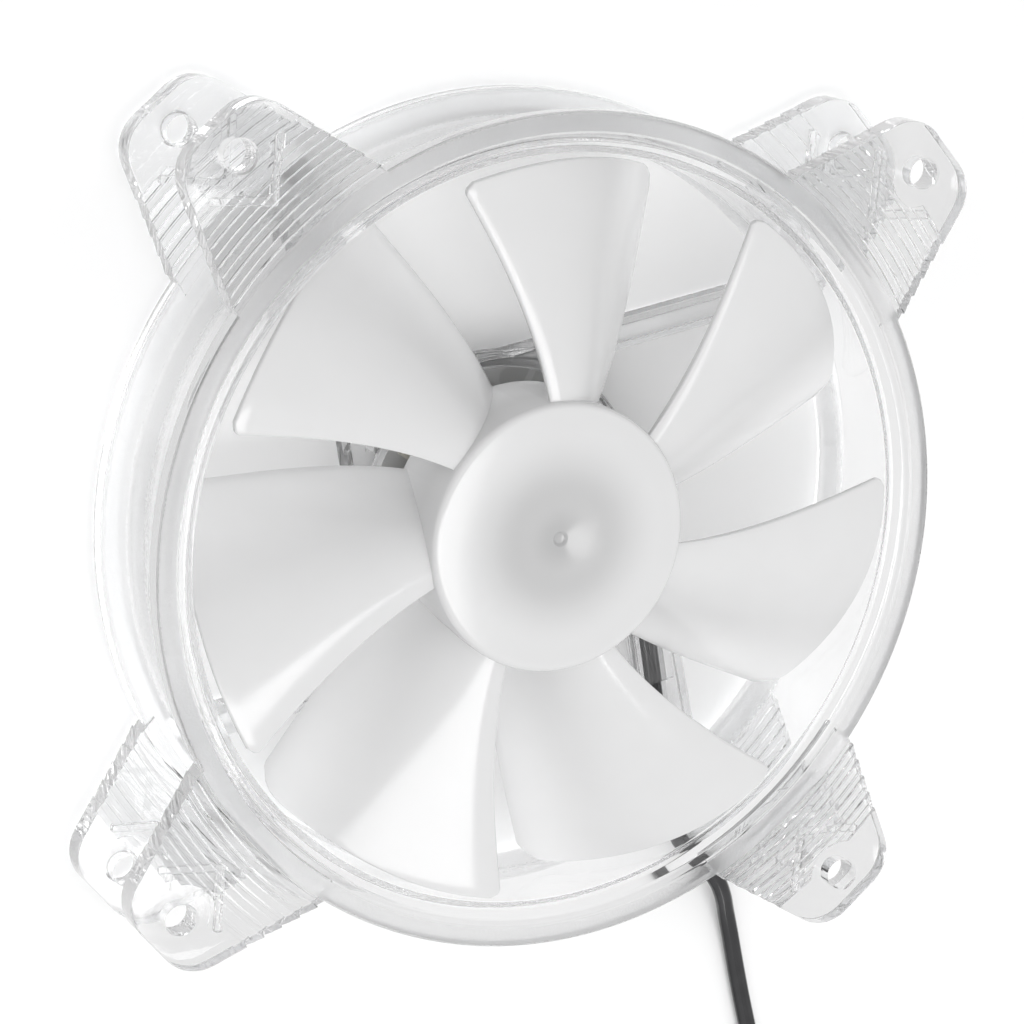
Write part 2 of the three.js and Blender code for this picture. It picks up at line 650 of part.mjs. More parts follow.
function leadAlong(points, steps) {
  const extrudePath = new THREE.CatmullRomCurve3(points, false, 'centripetal');
  return new THREE.ExtrudeGeometry(leadSection(), { steps, extrudePath });
}

const INNER_LEAD_POINTS = [
  onLeadStrut(1.5, 15.4),
  onLeadStrut(4.5, 16.2),
  onLeadStrut(8, 18.4),
  onLeadStrut(11, 20),
  onLeadStrut(14),
  onLeadStrut(30),
  onLeadStrut(LEAD_WALL_DISTANCE - PART_GAP),
];

// The free stretch: straight out of the wall, between two lugs, down to the table, off to the coil.
const COIL_LIFT = 0.3;
const COIL_CENTRE = [41.6, -109.3];
const CONNECTOR_START = [-0.7, 5.9];
const CONNECTOR_ANGLE = -54.8;
const FREE_LEAD_POINTS = [
  onLeadStrut(LEAD_WALL_DISTANCE),
  onLeadStrut(LEAD_WALL_DISTANCE + 3),
  new THREE.Vector3(36.4, -53.6, 5),
  new THREE.Vector3(38.8, -55.6, 5),
  new THREE.Vector3(41.3, -57.5, 4.95),
  new THREE.Vector3(43.6, -60, 4.5),
  new THREE.Vector3(45.6, -63, 3.4),
  new THREE.Vector3(47.3, -66.3, 2),
  new THREE.Vector3(48.7, -69.6, 1.3),
  new THREE.Vector3(49.9, -73, 0.96),
  new THREE.Vector3(51.2, -77, 0.84),
  new THREE.Vector3(52.5, -81, 0.82),
  new THREE.Vector3(53.8, -84.8, 0.82),
  new THREE.Vector3(55.1, -88.6, 0.84),
  new THREE.Vector3(56.36, -92.38, 0.9),
];

const COIL_INNER_RADIUS = 10.2;
const COIL_OUTER_RADIUS = 20.8;
const COIL_TOP = COIL_LIFT + LEAD_THICKNESS;

function addLead() {
  addPart('inner_lead', leadAlong(INNER_LEAD_POINTS, 24), BLACK_PLASTIC);
  addPart('lead', leadAlong(FREE_LEAD_POINTS, 24), BLACK_PLASTIC);
  const coil = ring(COIL_INNER_RADIUS, COIL_OUTER_RADIUS, COIL_LIFT, COIL_TOP, 48);
  addPart('lead_coil', coil.translate(...COIL_CENTRE, 0), BLACK_PLASTIC);
  const joint = revolve([[0, 0], [0.9, 0], [0.7, 0.4], [0, 0.6]], 12);
  [[14, 4.4], [12.3, 2.7]].forEach(([x, y], i) => {
    addPart(`solder_joint_${i + 1}`, joint.clone().translate(x, y, BOARD_TOP + 0.05), SOLDER);
  });
}

// A band round the coil's turns, on the side away from the fan.
function addCoilTie() {
  const [x, y] = COIL_CENTRE;
  const middle = (COIL_INNER_RADIUS + COIL_OUTER_RADIUS) / 2;
  const half = (COIL_OUTER_RADIUS - COIL_INNER_RADIUS) / 2 + PART_GAP;
  const width = 3;
  const skin = 0.25;
  const bottom = 0.02;
  const eyeTop = COIL_TOP + 0.1;
  const outer = boxFrom([x - width / 2, y - middle - half - skin, bottom],
    [width, 2 * (half + skin), eyeTop + skin - bottom]);
  const eye = boxFrom([x - width, y - middle - half, skin], [2 * width, 2 * half, eyeTop - skin]);
  addPart('coil_tie', geometryOf(solidOf(outer).subtract(solidOf(eye))), BLACK_PLASTIC);
}

// A two-way crimp housing, lying inside the coil with the lead's end going into it.
function addConnector() {
  const [length, width, height] = [12.4, 5.1, 2.7];
  const bottom = 0.02;
  const pitch = 2.54;
  const place = (geometry) => turned(geometry, CONNECTOR_ANGLE)
    .translate(COIL_CENTRE[0] + CONNECTOR_START[0], COIL_CENTRE[1] + CONNECTOR_START[1], 0);
  let housing = solidOf(place(boxFrom([0, -width / 2, bottom], [length, width, height])));
  for (const side of [-1, 1]) {
    const centre = side * pitch / 2;
    const slot = boxFrom([-1, centre - 0.8, bottom + 0.55], [length + 2, 1.6, 1.6]);
    housing = housing.subtract(solidOf(place(slot)));
    const contact = ring(0.28, 0.5, 0, 7, 10).rotateY(Math.PI / 2).translate(4.2, centre, bottom + 1.35);
    addPart(`crimp_contact_${side < 0 ? 1 : 2}`, place(contact), SOLDER);
  }
  addPart('connector_housing', geometryOf(housing), BLACK_PLASTIC);
}

// ---------------------------------------------------------------- the fan

addPart('frame', frameGeometry(), CLEAR);
addPart('rear_label', disc(LABEL_RECESS_RADIUS - 0.4, 0.2, BASE_PLATE_BOTTOM - 0.1, 48), PAPER);
addBoard();
addBearing();
addStator();
addRotor();
addLead();
addCoilTie();
addConnector();

export default group;
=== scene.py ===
import json
import math

import bmesh
import bpy
from mathutils import Matrix, Vector

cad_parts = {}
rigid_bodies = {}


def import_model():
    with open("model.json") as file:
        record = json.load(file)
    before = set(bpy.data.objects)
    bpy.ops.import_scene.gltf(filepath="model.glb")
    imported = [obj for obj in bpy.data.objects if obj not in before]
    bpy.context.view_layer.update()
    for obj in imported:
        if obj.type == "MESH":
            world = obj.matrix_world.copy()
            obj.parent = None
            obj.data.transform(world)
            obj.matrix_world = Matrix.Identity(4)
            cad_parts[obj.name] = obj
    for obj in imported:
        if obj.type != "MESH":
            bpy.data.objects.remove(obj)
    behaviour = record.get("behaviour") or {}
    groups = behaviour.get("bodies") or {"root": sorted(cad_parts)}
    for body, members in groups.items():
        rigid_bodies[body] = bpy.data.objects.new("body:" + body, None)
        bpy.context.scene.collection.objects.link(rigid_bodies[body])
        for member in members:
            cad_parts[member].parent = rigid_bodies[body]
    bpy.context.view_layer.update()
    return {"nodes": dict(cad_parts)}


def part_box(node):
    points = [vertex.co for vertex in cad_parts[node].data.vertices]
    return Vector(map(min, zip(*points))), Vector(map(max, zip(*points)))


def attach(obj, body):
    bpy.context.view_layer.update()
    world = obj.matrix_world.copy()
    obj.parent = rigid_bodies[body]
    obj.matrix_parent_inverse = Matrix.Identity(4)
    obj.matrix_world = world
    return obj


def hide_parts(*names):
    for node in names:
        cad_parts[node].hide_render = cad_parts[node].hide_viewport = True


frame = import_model()

# The CAD part's driving dimensions and the finer ones that only the looks need, in millimetres and
# degrees. MM turns millimetres into metres; only LEAD_LENGTH is in metres already.
MM = 0.001
FAN_DEPTH = 25
FLANGE_THICKNESS = 3.5
FLANGE_RADIUS = 60
FLANGE_FACE_EDGE = 0.6
FLANGE_BACK_EDGE = 0.9
BORE_RADIUS = 54
WALL_OUTER_RADIUS = 55.8
BAND_INNER_RADIUS = 57.2
BAND_STEP_DEPTH = 0.4
FRONT_BEVEL = 1.7
FRONT_BEVEL_DEPTH = 2.2
REAR_BEVEL = 3
HOLE_PITCH = 105
HOLE_RADIUS = 2.25
HOLE_PAD_RADIUS = 5.2
HOLE_ALONG = HOLE_PITCH / 2 * math.sqrt(2)

LUG_THICKNESS = 4
LUG_ROOT_RADIUS = 58.4
LUG_TIP_ALONG = 79.4
LUG_REFERENCE_ALONG = 58.2
LUG_REFERENCE_HALF_WIDTH = 14.4
LUG_TAPER = math.radians(18.5)
LUG_CORNER_RADIUS = 6
RIB_CORNER = 45.4
RIB_HEIGHT = 0.6
RIB_ROOT = 0.6
RIB_LENGTH = 10
RIB_WIDTH = 1.1
STEP_COUNT = 5
STEP_PITCH = 2.5
STEP_FIRST_RADIUS = 58.5
STEP_CREST_WIDTH = 0.25
STEP_DEPTH = 0.45
HALF_STEP_DEPTH = 0.3
INNER_STEP_DEPTH = 0.4
STEP_SIDE_DEPTH = 0.25
STEP_START_SHARE = 0.4

STRUT_ANGLE = 14.8
STRUT_OFFSET = 19.6
STRUT_WIDTH = 3.55
STRUT_HEIGHT = 5.8
BASE_RADIUS = 22
BASE_RIM_INNER = 20.4
BASE_RIM_HEIGHT = 6
BASE_PLATE_TOP = 2.2
LABEL_RECESS_RADIUS = 19.2
LABEL_RECESS_DEPTH = 0.6
TUBE_OUTER_RADIUS = 5.2
TUBE_INNER_RADIUS = 3.9
TUBE_TOP = 16

LEAD_STRUT_ANGLE = STRUT_ANGLE - 90
LEAD_WIDTH = 2.8
LEAD_THICKNESS = 1.4
LEAD_OFFSET = 20.3
LEAD_HEIGHT = 5
LEAD_WALL_DISTANCE = 52.5

HUB_RADIUS = 19.4
HUB_INNER_RADIUS = 18.1
HUB_BOTTOM = 10
HUB_TOP = 24.8
HUB_ROOF_THICKNESS = 1.6
GATE_DIMPLE_RADIUS = 1.15
GATE_DIMPLE_FLOOR_RADIUS = 0.75
GATE_DIMPLE_DEPTH = 0.4
BLADE_COUNT = 7
BLADE_ROOT_RADIUS = 18.8
BLADE_TIP_RADIUS = 52.9
BLADE_CAMBER = 4.0
BLADE_CHORD_LENGTH = 36
BLADE_ROOT_THICKNESS = 1.5
BLADE_THINNING = 0.4
BLADE_EDGE_SHARE = 0.009
LEADING_CORNER_RADIUS = 1.5
TRAILING_CORNER_RADIUS = 4

ROOT_BODY = "stationary"
ROTOR_BODY = "rotor"


# ------------------------------------------------------------------ camera


def make_camera():
    """A view from about 550 mm away, 60 degrees up, from the upper left, with a long lens."""
    data = bpy.data.cameras.new("camera")
    data.sensor_width = 36
    data.lens = 133.44
    data.clip_start = 0.01
    data.clip_end = 20
    camera = bpy.data.objects.new("camera", data)
    right = Vector((0.89416, 0.09299, 0.43799)).normalized()
    back = -Vector((0.44739, -0.22478, -0.86563)).normalized()
    up = back.cross(right).normalized()
    right = up.cross(back)
    turn = Matrix((right, up, back)).transposed().to_4x4()
    camera.matrix_world = Matrix.Translation((-0.24235, 0.12178, 0.47824)) @ turn
    bpy.context.scene.collection.objects.link(camera)
    bpy.context.scene.camera = camera


make_camera()


# ------------------------------------------------------------------ node materials


class Nodes:
    """A material's node tree, with short ways to add and link nodes."""

    def __init__(self, name):
        self.material = bpy.data.materials.new(name)
        self.material.use_nodes = True
        self.tree = self.material.node_tree
        self.shader = self.tree.nodes["Principled BSDF"]
        self.output = self.tree.nodes["Material Output"]
        self.place = self.add("ShaderNodeTexCoord").outputs["Object"]

    def add(self, kind, **settings):
        node = self.tree.nodes.new(kind)
        for key, value in settings.items():
            setattr(node, key, value)
        return node

    def link(self, source, target):
        self.tree.links.new(source, target)

    def set(self, **values):
        for key, value in values.items():
            self.shader.inputs[key.replace("_", " ")].default_value = value

    def feed(self, source, socket):
        self.link(source, self.shader.inputs[socket])

    def noise(self, scale, detail=3.0, roughness=0.55, stretch=None):
        node = self.add("ShaderNodeTexNoise")
        node.inputs["Scale"].default_value = scale
        node.inputs["Detail"].default_value = detail
        node.inputs["Roughness"].default_value = roughness
        if stretch is None:
            self.link(self.place, node.inputs["Vector"])
        else:
            mapping = self.add("ShaderNodeMapping")
            mapping.inputs["Scale"].default_value = stretch
            self.link(self.place, mapping.inputs["Vector"])
            self.link(mapping.outputs["Vector"], node.inputs["Vector"])
        return node.outputs["Fac"]

    def math(self, operation, a, b=None):
        node = self.add("ShaderNodeMath", operation=operation)
        for socket, value in zip(node.inputs, (a, b)):
            if value is None:
                continue
            if isinstance(value, (int, float)):
                socket.default_value = value
            else:
                self.link(value, socket)
        return node.outputs[0]

    def spread(self, source, low, high, start=0.0, end=1.0, smooth=False):
        """The source's range start..end turned into low..high."""
        node = self.add("ShaderNodeMapRange")
        if smooth:
            node.interpolation_type = "SMOOTHSTEP"
        for name, value in (("From Min", start), ("From Max", end), ("To Min", low), ("To Max", high)):
            node.inputs[name].default_value = value
        self.link(source, node.inputs["Value"])
        return node.outputs["Result"]

    def colours(self, source, stops):
        node = self.add("ShaderNodeValToRGB")
        elements = node.color_ramp.elements
        while len(elements) < len(stops):
            elements.new(0.5)
        for element, (position, colour) in zip(elements, stops):
            element.position = position
            element.color = (*colour, 1)
        self.link(source, node.inputs["Fac"])
        return node.outputs["Color"]

    def bump(self, height, strength, distance):
        node = self.add("ShaderNodeBump")
        node.inputs["Strength"].default_value = strength
        node.inputs["Distance"].default_value = distance
        self.link(height, node.inputs["Height"])
        self.feed(node.outputs["Normal"], "Normal")

    def let_light_through(self, colour):
        """Shadows that keep this share of the light for each surface it goes through."""
        rays = self.add("ShaderNodeLightPath")
        through = self.add("ShaderNodeBsdfTransparent")
        through.inputs["Color"].default_value = (*colour, 1)
        mix = self.add("ShaderNodeMixShader")
        self.link(rays.outputs["Is Shadow Ray"], mix.inputs["Fac"])
        self.link(self.shader.outputs[0], mix.inputs[1])
        self.link(through.outputs[0], mix.inputs[2])
        self.link(mix.outputs[0], self.output.inputs["Surface"])

    def radius_and_height(self):
        """Distance from the fan's axis and height above its rear face, in metres."""
        split = self.add("ShaderNodeSeparateXYZ")
        self.link(self.place, split.inputs[0])
        x, y, z = split.outputs
        squares = self.math("ADD", self.math("MULTIPLY", x, x), self.math("MULTIPLY", y, y))
        return self.math("SQRT", squares), z

    def between(self, source, low, high, soft):
        """1 where the source lies between low and high, 0 outside, with soft edges."""
        rise = self.spread(source, 0, 1, low - soft, low + soft, smooth=True)
        fall = self.spread(source, 1, 0, high - soft, high + soft, smooth=True)
        return self.math("MULTIPLY", rise, fall)


def clear_plastic():
    """Clear polycarbonate: polished, with a fine spark-eroded grain on the front band, the rear flange
    and the struts' outer ends, and faint flow marks elsewhere. The wall is tinted lighter than the rest of
    the moulding, painted brightness in place of the bright surroundings seen through it; the front band is
    tinted darker."""
    n = Nodes("clear_plastic")
    n.set(IOR=1.5, Transmission_Weight=1.0)
    radius, height = n.radius_and_height()
    front = n.math("MULTIPLY",
                   n.between(radius, BAND_INNER_RADIUS * MM, FLANGE_RADIUS * MM, 0.00006),
                   n.spread(height, 0, 1, 0.02485, 0.02495))
    rear = n.math("MULTIPLY",
                  n.between(radius, (WALL_OUTER_RADIUS + 0.5) * MM, (FLANGE_RADIUS + 0.3) * MM, 0.0001),
                  n.between(height, 0.0033, 0.0037, 0.0001))
    strut_ends = n.math("MULTIPLY",
                        n.between(radius, (BORE_RADIUS - 5) * MM, (WALL_OUTER_RADIUS + 0.5) * MM, 0.0003),
                        n.spread(height, 1, 0, (STRUT_HEIGHT + 2.5) * MM, (STRUT_HEIGHT + 4.5) * MM))
    grain_mask = n.math("MAXIMUM", n.math("MAXIMUM", front, rear), strut_ends)
    # Painted brightness: the wall's base colour is lighter than the rest, standing in for the bright
    # surroundings seen through it; the front band is darker.
    wall = n.between(radius, (BORE_RADIUS - 0.5) * MM, (WALL_OUTER_RADIUS + 0.3) * MM, 0.0002)
    tint_and_painted_wall_light = n.math("ADD", 0.5, n.math("MULTIPLY", n.math("SUBTRACT", wall, front), 0.5))
    n.feed(n.colours(tint_and_painted_wall_light, [
        (0.0, (0.70, 0.70, 0.702)), (0.5, (0.78, 0.78, 0.782)), (1.0, (0.94, 0.94, 0.942)),
    ]), "Base Color")
    grain = n.noise(2600, 2.0, 0.7)
    flow = n.noise(90, 4.0, 0.6)
    polish = n.spread(flow, 0.015, 0.06, 0.35, 0.7)
    matte = n.spread(grain, 0.28, 0.5, 0.35, 0.65)
    difference = n.math("SUBTRACT", matte, polish)
    n.feed(n.math("ADD", polish, n.math("MULTIPLY", difference, grain_mask)), "Roughness")
    speckle = n.math("MULTIPLY", grain, grain_mask)
    n.bump(n.math("ADD", speckle, n.math("MULTIPLY", flow, 0.25)), 0.35, 0.00012)
    n.let_light_through((0.965, 0.968, 0.97))
    return n.material


def milky_plastic():
    """Opal plastic that scatters light. Its base colour is darker towards the front and lighter towards the
    rear, painted light that lifts the shade on the lower parts. A soft grey disc painted on the hub's face
    is painted shade in place of the motor's shadow seen through it."""
    n = Nodes("milky_plastic")
    radius, height = n.radius_and_height()
    cloud = n.noise(60, 3.0)
    speck = n.noise(900, 2.0)
    # Painted shade: a soft grey disc on the hub's face stands in for the shadow of the motor seen through
    # the plastic.
    disc = n.spread(radius, 1, 0, 0.0065, 0.0155, smooth=True)
    core = n.spread(radius, 1, 0, 0.0008, 0.0052, smooth=True)
    face = n.spread(height, 0, 1, 0.0238, 0.0244)
    painted_motor_shade = n.math("ADD", n.math("MULTIPLY", disc, 0.62), n.math("MULTIPLY", core, 0.2))
    shade = n.math("ADD", n.math("MULTIPLY", painted_motor_shade, face), n.spread(cloud, -0.02, 0.03, 0.3, 0.7))
    # Painted light: the base colour grows lighter towards the rear, lifting the shade on the blades' lower
    # parts and the hub's side.
    painted_light_by_height = n.spread(height, 0, 0.3, 0.011, 0.020, smooth=True)
    shade = n.math("ADD", n.math("MULTIPLY", shade, 0.7), painted_light_by_height)
    n.feed(n.colours(shade, [
        (0.0, (0.86, 0.86, 0.862)), (0.3, (0.66, 0.66, 0.662)),
        (0.55, (0.58, 0.58, 0.582)), (1.0, (0.38, 0.38, 0.382)),
    ]), "Base Color")
    n.feed(n.spread(speck, 0.10, 0.17, 0.3, 0.7), "Roughness")
    n.set(IOR=1.5, Subsurface_Weight=0.3, Subsurface_Radius=(1.0, 1.0, 1.0), Subsurface_Scale=0.002)
    n.bump(n.noise(350, 2.0), 0.03, 0.0001)
    n.let_light_through((0.85, 0.85, 0.85))
    return n.material


def moulded_plastic(name, dark, light, roughness, scale=500.0):
    """Opaque moulded plastic with a fine grain and slightly uneven gloss."""
    n = Nodes(name)
    n.feed(n.colours(n.noise(scale * 0.25), [(0.3, dark), (0.7, light)]), "Base Color")
    n.feed(n.spread(n.noise(scale), roughness * 0.8, roughness * 1.25, 0.3, 0.7), "Roughness")
    n.bump(n.noise(scale * 4), 0.1, 0.0001)
    return n.material


def metal(name, dark, light, roughness, stretch=(1.0, 1.0, 12.0)):
    """Metal with the fine turning or drawing marks that its making leaves."""
    n = Nodes(name)
    n.feed(n.colours(n.noise(220, 4.0, 0.6), [(0.3, dark), (0.7, light)]), "Base Color")
    marks = n.noise(700, 3.0, 0.6, stretch)
    n.feed(n.spread(marks, roughness * 0.7, roughness * 1.4, 0.3, 0.7), "Roughness")
    n.set(Metallic=1.0)
    n.bump(marks, 0.15, 0.00008)
    return n.material


def windings():
    """Enamelled copper wire: fine turns that run round the axis of each arm."""
    n = Nodes("copper_windings")
    wave = n.add("ShaderNodeTexWave", wave_type="RINGS", rings_direction="Z", bands_direction="Z")
    wave.inputs["Scale"].default_value = 900
    wave.inputs["Distortion"].default_value = 0.6
    n.link(n.place, wave.inputs["Vector"])
    copper = [(0.0, (0.30, 0.11, 0.04)), (1.0, (0.62, 0.29, 0.13))]
    n.feed(n.colours(wave.outputs["Fac"], copper), "Base Color")
    n.feed(n.spread(n.noise(400), 0.2, 0.4), "Roughness")
    n.set(Metallic=0.9)
    n.bump(wave.outputs["Fac"], 0.4, 0.0001)
    return n.material


def laminations():
    """Stacked electrical steel sheets, half a millimetre each, seen as lines along Z."""
    n = Nodes("laminations")
    wave = n.add("ShaderNodeTexWave", wave_type="BANDS", bands_direction="Z", wave_profile="SAW")
    wave.inputs["Scale"].default_value = 314
    n.link(n.place, wave.inputs["Vector"])
    steel = [(0.0, (0.12, 0.12, 0.13)), (0.3, (0.42, 0.43, 0.45))]
    n.feed(n.colours(wave.outputs["Fac"], steel), "Base Color")
    n.feed(n.spread(n.noise(500), 0.35, 0.6), "Roughness")
    n.set(Metallic=0.9)
    n.bump(wave.outputs["Fac"], 0.4, 0.0001)
    return n.material


def board_mask():
    """Pale solder mask over copper tracks, which show as faintly raised lighter paths."""
    n = Nodes("board_mask")
    cells = n.add("ShaderNodeTexVoronoi", feature="DISTANCE_TO_EDGE", distance="EUCLIDEAN")
    cells.inputs["Scale"].default_value = 190
    n.link(n.place, cells.inputs["Vector"])
    tracks = n.spread(cells.outputs["Distance"], 1, 0, 0.08, 0.12)
    n.feed(n.colours(tracks, [(0.0, (0.56, 0.565, 0.56)), (1.0, (0.66, 0.665, 0.66))]), "Base Color")
    n.feed(n.spread(n.noise(600), 0.25, 0.42), "Roughness")
    n.bump(tracks, 0.3, 0.00006)
    return n.material


def label_film():
    """A blank matt film with the faint mottling of a printed adhesive label."""
    n = Nodes("label_film")
    film = [(0.3, (0.80, 0.80, 0.79)), (0.7, (0.88, 0.88, 0.87))]
    n.feed(n.colours(n.noise(260, 4.0), film), "Base Color")
    n.feed(n.spread(n.noise(900), 0.45, 0.65), "Roughness")
    n.bump(n.noise(1500), 0.08, 0.00005)
    return n.material


def lead_jacket():
    """Glossy black PVC with slight waviness and dust-fine grain."""
    n = Nodes("lead_jacket")
    black = [(0.3, (0.006, 0.006, 0.007)), (0.7, (0.016, 0.016, 0.018))]
    n.feed(n.colours(n.noise(300), black), "Base Color")
    n.feed(n.spread(n.noise(700), 0.16, 0.3), "Roughness")
    n.set(Coat_Weight=0.4, Coat_Roughness=0.1)
    n.bump(n.noise(240, 2.0), 0.15, 0.0003)
    return n.material


CLEAR = clear_plastic()
MILKY = milky_plastic()
JACKET = lead_jacket()
BLACK = moulded_plastic("black_plastic", (0.010, 0.010, 0.011), (0.026, 0.026, 0.028), 0.4)
NYLON = moulded_plastic("natural_nylon", (0.70, 0.68, 0.61), (0.82, 0.80, 0.73), 0.5)
FERRITE = moulded_plastic("bonded_ferrite", (0.020, 0.019, 0.019), (0.050, 0.048, 0.047), 0.65, 900)
STEEL = metal("turned_steel", (0.42, 0.43, 0.45), (0.60, 0.61, 0.63), 0.3)
BRASS = metal("turned_brass", (0.55, 0.38, 0.15), (0.74, 0.55, 0.27), 0.3)
BRONZE = metal("sintered_bronze", (0.30, 0.18, 0.08), (0.52, 0.35, 0.18), 0.5, (1.0, 1.0, 1.0))
TIN = metal("tin_plate", (0.60, 0.61, 0.62), (0.80, 0.80, 0.81), 0.25, (1.0, 1.0, 1.0))

NODE_MATERIALS = {
    "rear_label": label_film(),
    "thrust_pad": NYLON,
    "lower_oil_washer": NYLON,
    "upper_oil_washer": NYLON,
    "sleeve_bearing": BRONZE,
    "stator_core": laminations(),
    "upper_insulator": NYLON,
    "lower_insulator": NYLON,
    "circuit_board": board_mask(),
    "driver_chip": BLACK,
    "capacitor": NYLON,
    "diode": BLACK,
    "solder_joint_1": TIN,
    "solder_joint_2": TIN,
    "winding_pin_1": TIN,
    "winding_pin_2": TIN,
    "winding_pin_3": TIN,
    "rotor_yoke": STEEL,
    "ring_magnet": FERRITE,
    "shaft": STEEL,
    "shaft_bush": BRASS,
    "retaining_clip": NYLON,
    "connector_housing": BLACK,
    "crimp_contact_1": TIN,
    "crimp_contact_2": TIN,
}
WINDING = windings()
for number in range(1, 5):
    NODE_MATERIALS[f"winding_{number}"] = WINDING

for node_name, material in NODE_MATERIALS.items():
    cad_mesh = frame["nodes"][node_name].data
    cad_mesh.materials.clear()
    cad_mesh.materials.append(material)


# ------------------------------------------------------------------ mesh helpers


def finish_object(name, mesh, material, smooth_angle=30):
    """An object in the scene, smooth except at edges sharper than the angle in degrees."""
    mesh.shade_smooth()
    mesh.set_sharp_from_angle(angle=math.radians(smooth_angle))
    mesh.materials.clear()
    mesh.materials.append(material)
    made = bpy.data.objects.new(name, mesh)
    bpy.context.scene.collection.objects.link(made)
    return made


def mesh_from(name, points, faces):
    """A mesh from points in millimetres, with its faces turned outwards."""
    bm = bmesh.new()
    vertices = [bm.verts.new(Vector(p) * MM) for p in points]
    for face in faces:
        bm.faces.new([vertices[i] for i in face])
    bmesh.ops.recalc_face_normals(bm, faces=bm.faces)
    mesh = bpy.data.meshes.new(name)
    bm.to_mesh(mesh)
    bm.free()
    return mesh


def rounded(corners, steps=4):
    """An outline from corners (x, y, radius): each corner becomes an arc of that radius."""
    outline = []
    count = len(corners)
    for i, (x, y, radius) in enumerate(corners):
        here = Vector((x, y))
        if radius == 0:
            outline.append((x, y))
            continue
        back = (Vector(corners[i - 1][:2]) - here).normalized()
        ahead = (Vector(corners[(i + 1) % count][:2]) - here).normalized()
        half = back.angle(ahead) / 2
        reach = radius / math.tan(half)
        centre = here + (back + ahead).normalized() * (radius / math.sin(half))
        start = here + back * reach - centre
        end = here + ahead * reach - centre
        turn = math.atan2(start.x * end.y - start.y * end.x, start.dot(end))
        pieces = steps if radius > 0.2 else 2
        for k in range(pieces + 1):
            angle = turn * k / pieces
            c, s = math.cos(angle), math.sin(angle)
            outline.append((centre.x + start.x * c - start.y * s, centre.y + start.x * s + start.y * c))
    return outline


def revolved(name, outline, segments):
    """A closed (radius, height) outline turned about Z. Points on the axis become one vertex."""
    points, faces, rings = [], [], []
    for radius, height in outline:
        if radius < 1e-6:
            points.append((0, 0, height))
            rings.append([len(points) - 1] * segments)
            continue
        first = len(points)
        for k in range(segments):
            angle = 2 * math.pi * k / segments
            points.append((radius * math.cos(angle), radius * math.sin(angle), height))
        rings.append(list(range(first, first + segments)))
    for i, ring in enumerate(rings):
        after = rings[(i + 1) % len(rings)]
        for k in range(segments):
            m = (k + 1) % segments
            corners = [ring[k], ring[m], after[m], after[k]]
            unique = list(dict.fromkeys(corners))
            if len(unique) > 2:
                faces.append(unique)
    return mesh_from(name, points, faces)


def prism(name, outline, low, high, bevel=0.0):
    """An outline in X and Y, drawn from one height to another, with rounded rims if bevel is given."""
    count = len(outline)
    points = [(x, y, low) for x, y in outline] + [(x, y, high) for x, y in outline]
    faces = [list(range(count))[::-1], list(range(count, 2 * count))]
    faces += [[i, (i + 1) % count, count + (i + 1) % count, count + i] for i in range(count)]
    mesh = mesh_from(name, points, faces)
    if bevel:
        bm = bmesh.new()
        bm.from_mesh(mesh)
        rims = [e for e in bm.edges if abs(e.verts[0].co.z - e.verts[1].co.z) < 1e-7]
        bmesh.ops.bevel(bm, geom=rims, offset=bevel * MM, segments=2, affect="EDGES", profile=0.5)
        bm.to_mesh(mesh)
        bm.free()
    return mesh


def turn_about_z(degrees):
    return Matrix.Rotation(math.radians(degrees), 4, "Z")


# Turns a prism drawn in X and Y so that its outline stands in Y and Z and it runs along X.
ALONG_X = Matrix(((0, 0, 1, 0), (1, 0, 0, 0), (0, 1, 0, 0), (0, 0, 0, 1)))


def placed(mesh, matrix):
    """A copy of the mesh moved by the matrix."""
    copy = mesh.copy()
    copy.transform(matrix)
    if matrix.determinant() < 0:
        copy.flip_normals()
    return copy


def in_triangles(mesh):
    """Splits the mesh's faces into triangles, four-sided ones always along the same diagonal."""
    bm = bmesh.new()
    bm.from_mesh(mesh)
    bmesh.ops.triangulate(bm, faces=bm.faces, quad_method="FIXED")
    bm.to_mesh(mesh)
    bm.free()


def combined(base, meshes, operation):
    """The base mesh united with, or cut by, the other meshes."""
    for part in [base, *meshes]:
        in_triangles(part)
    scene = bpy.context.scene
    holder = bpy.data.collections.new("operands")
    scene.collection.children.link(holder)
    target = bpy.data.objects.new("target", base)
    scene.collection.objects.link(target)
    for mesh in meshes:
        holder.objects.link(bpy.data.objects.new("operand", mesh))
    boolean = target.modifiers.new("combine", "BOOLEAN")
    boolean.operation = operation
    boolean.solver = "MANIFOLD"
    boolean.operand_type = "COLLECTION"
    boolean.collection = holder
    graph = bpy.context.evaluated_depsgraph_get()
    result = bpy.data.meshes.new_from_object(target.evaluated_get(graph))
    for operand in list(holder.objects):
        bpy.data.objects.remove(operand)
    bpy.data.objects.remove(target)
    bpy.data.collections.remove(holder)
    return result


def weighted_normals(made):
    """Keeps flat faces flat beside their small rounded edges."""
    modifier = made.modifiers.new("weighted_normals", "WEIGHTED_NORMAL")
    modifier.keep_sharp = True
    modifier.weight = 80


# ------------------------------------------------------------------ lead


def smooth_path(points, step):
    """Points about one step apart on a smooth curve through the given points, all in millimetres."""
    points = [Vector(p) for p in points]
    ends = [points[0] * 2 - points[1]] + points + [points[-1] * 2 - points[-2]]
    path = []
    for before, start, end, after in zip(ends, ends[1:], ends[2:], ends[3:]):
        count = max(1, round((end - start).length / step))
        for k in range(count):
            t = k / count
            path.append(0.5 * (
                2 * start + (end - before) * t + (2 * before - 5 * start + 4 * end - after) * t * t
                + (3 * start - before - 3 * end + after) * t ** 3
            ))
    return path + [points[-1]]


